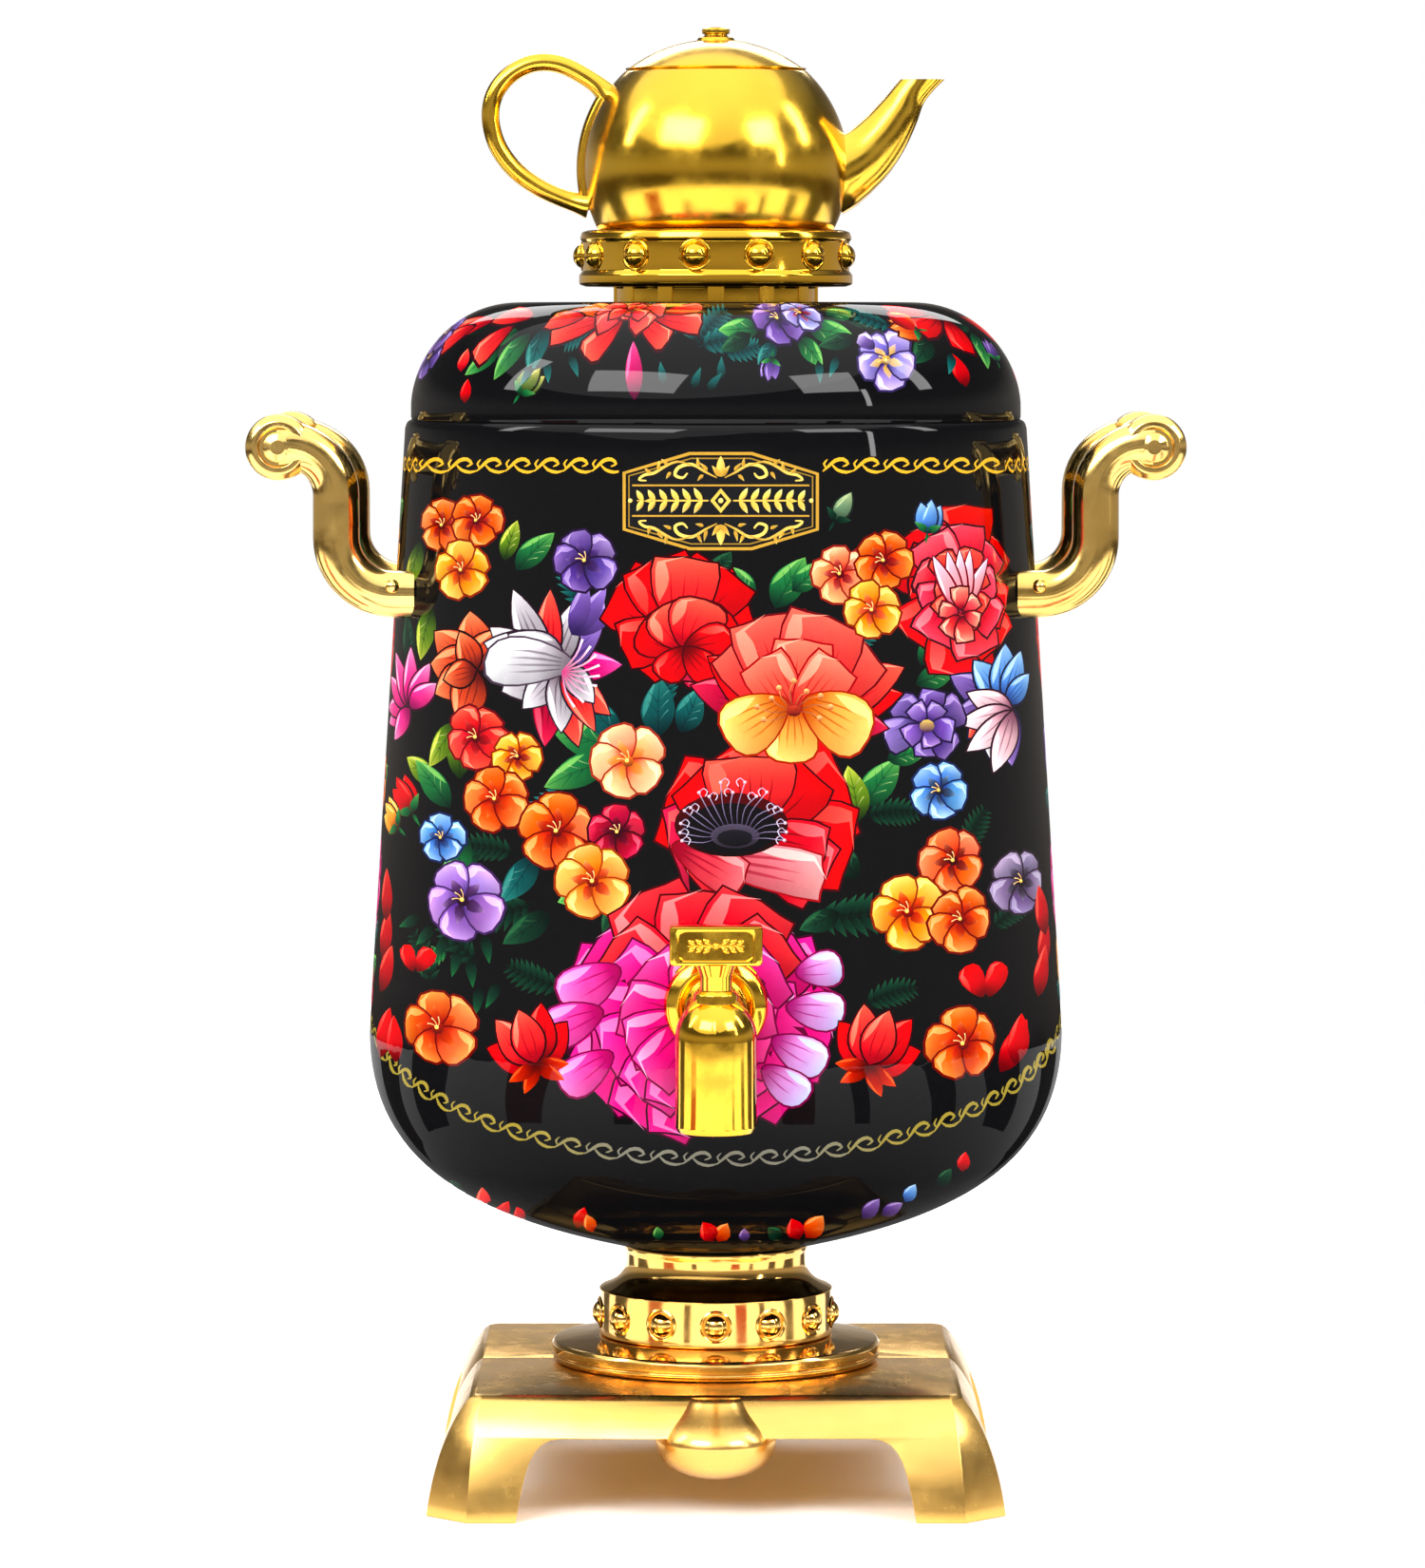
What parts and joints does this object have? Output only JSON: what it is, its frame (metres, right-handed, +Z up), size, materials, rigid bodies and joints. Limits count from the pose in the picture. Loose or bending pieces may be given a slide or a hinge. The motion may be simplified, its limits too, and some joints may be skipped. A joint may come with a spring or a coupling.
{
  "type": "samovar-shaped tea tin",
  "caption": "Free-standing lacquered tin shaped as a samovar, with a lift-off lid, a small teapot on a crown, side handles, a tap and a footed base.",
  "frame": {"origin": "on the tin's vertical axis, level with the soles of the four feet", "axes": "+Z up along the tin's axis, -Y towards the tap, +X towards the teapot's spout"},
  "size_m": [0.1554, 0.1316, 0.2438],
  "materials": {
    "painted_tin": "glossy black lacquer with painted bouquets",
    "bare_tin": "plain tinplate",
    "gold_plastic": "bright gold metallised plastic",
    "pale_gold_plastic": "pale gold metallised plastic",
    "steel": "zinc-plated"
  },
  "bodies": {
    "tin": {"body_wall": "painted_tin", "body_bowl": "painted_tin", "body_collar": "bare_tin", "handle_left_front_arm": "pale_gold_plastic", "handle_left_rear_arm": "pale_gold_plastic", "handle_left_grip": "pale_gold_plastic", "handle_right_front_arm": "pale_gold_plastic", "handle_right_rear_arm": "pale_gold_plastic", "handle_right_grip": "pale_gold_plastic", "handle_screws": "steel", "handle_rivets": "pale_gold_plastic", "tap_rosette": "gold_plastic", "tap_body": "gold_plastic", "tap_nut": "steel", "pedestal": "pale_gold_plastic", "pedestal_disc": "pale_gold_plastic", "base_front": "pale_gold_plastic", "base_rear": "pale_gold_plastic", "base_screws": "steel", "clamp_bolt": "steel", "clamp_washer_top": "steel", "clamp_washer_under": "steel", "clamp_nut": "steel"},
    "lid": {"lid_shell": "painted_tin", "crown_ring": "gold_plastic", "crown_screw": "steel", "crown_washer": "steel"},
    "teapot": {"teapot_body": "gold_plastic", "teapot_handle": "gold_plastic", "teapot_spout": "gold_plastic"},
    "teapot_lid": {"teapot_cap": "gold_plastic"},
    "tap_handle": {"tap_key": "gold_plastic"}
  },
  "joints": [
    {"name": "lid_lift", "type": "slide", "parent": "tin", "child": "lid", "axis": [0, 0, 1], "range_m": [0, 0.06]},
    {"name": "teapot_lift", "type": "slide", "parent": "lid", "child": "teapot", "axis": [0, 0, 1], "range_m": [0, 0.03]},
    {"name": "teapot_cap_lift", "type": "slide", "parent": "teapot", "child": "teapot_lid", "axis": [0, 0, 1], "range_m": [0, 0.015]},
    {"name": "tap_key_turn", "type": "hinge", "parent": "tin", "child": "tap_handle", "pos_m": [0, -0.0667, 0.09], "axis": [0, 0, 1], "range_deg": [-90, 90]}
  ]
}
